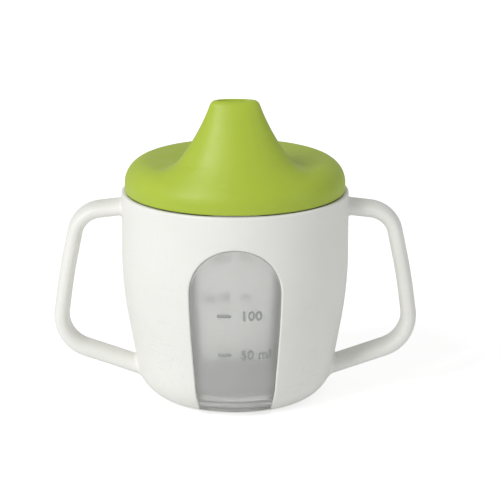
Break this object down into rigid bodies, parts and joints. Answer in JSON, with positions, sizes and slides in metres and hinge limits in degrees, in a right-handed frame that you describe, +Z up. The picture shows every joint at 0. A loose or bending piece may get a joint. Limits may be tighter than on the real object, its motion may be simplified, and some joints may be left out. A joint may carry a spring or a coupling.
{
  "type": "sippy cup",
  "caption": "Two-handled toddler beaker: translucent cup in a white jacket with arched windows, loop handles and a green screw-on lid with an off-centre drinking spout.",
  "frame": {"origin": "centre of the underside, on the surface that the beaker stands on", "axes": "+Z up along the beaker's axis, X through the two handles, spout and front window towards -Y"},
  "size_m": [0.1268, 0.0788, 0.1093],
  "materials": {
    "white_shell": "satin white polypropylene",
    "clear_cup": "natural translucent polypropylene, milky",
    "green_lid": "satin lime green polypropylene",
    "seal_silicone": "matt translucent silicone"
  },
  "bodies": {
    "beaker": {"outer_shell": "white_shell", "handle_left": "white_shell", "handle_right": "white_shell", "inner_cup": "clear_cup"},
    "seal": {"lid_seal": "seal_silicone"},
    "lid": {"lid": "green_lid"}
  },
  "joints": [
    {"name": "lid_lift", "type": "slide", "parent": "beaker", "child": "seal", "axis": [0, 0, 1], "range_m": [0, 0.0135]},
    {"name": "lid_turn", "type": "hinge", "parent": "seal", "child": "lid", "pos_m": [0, 0, 0.0738], "axis": [0, 0, 1], "range_deg": [0, 540]}
  ],
  "couplings": [
    {"joint": "lid_lift", "follows": "lid_turn", "m_per_rad": 0.0014324}
  ]
}
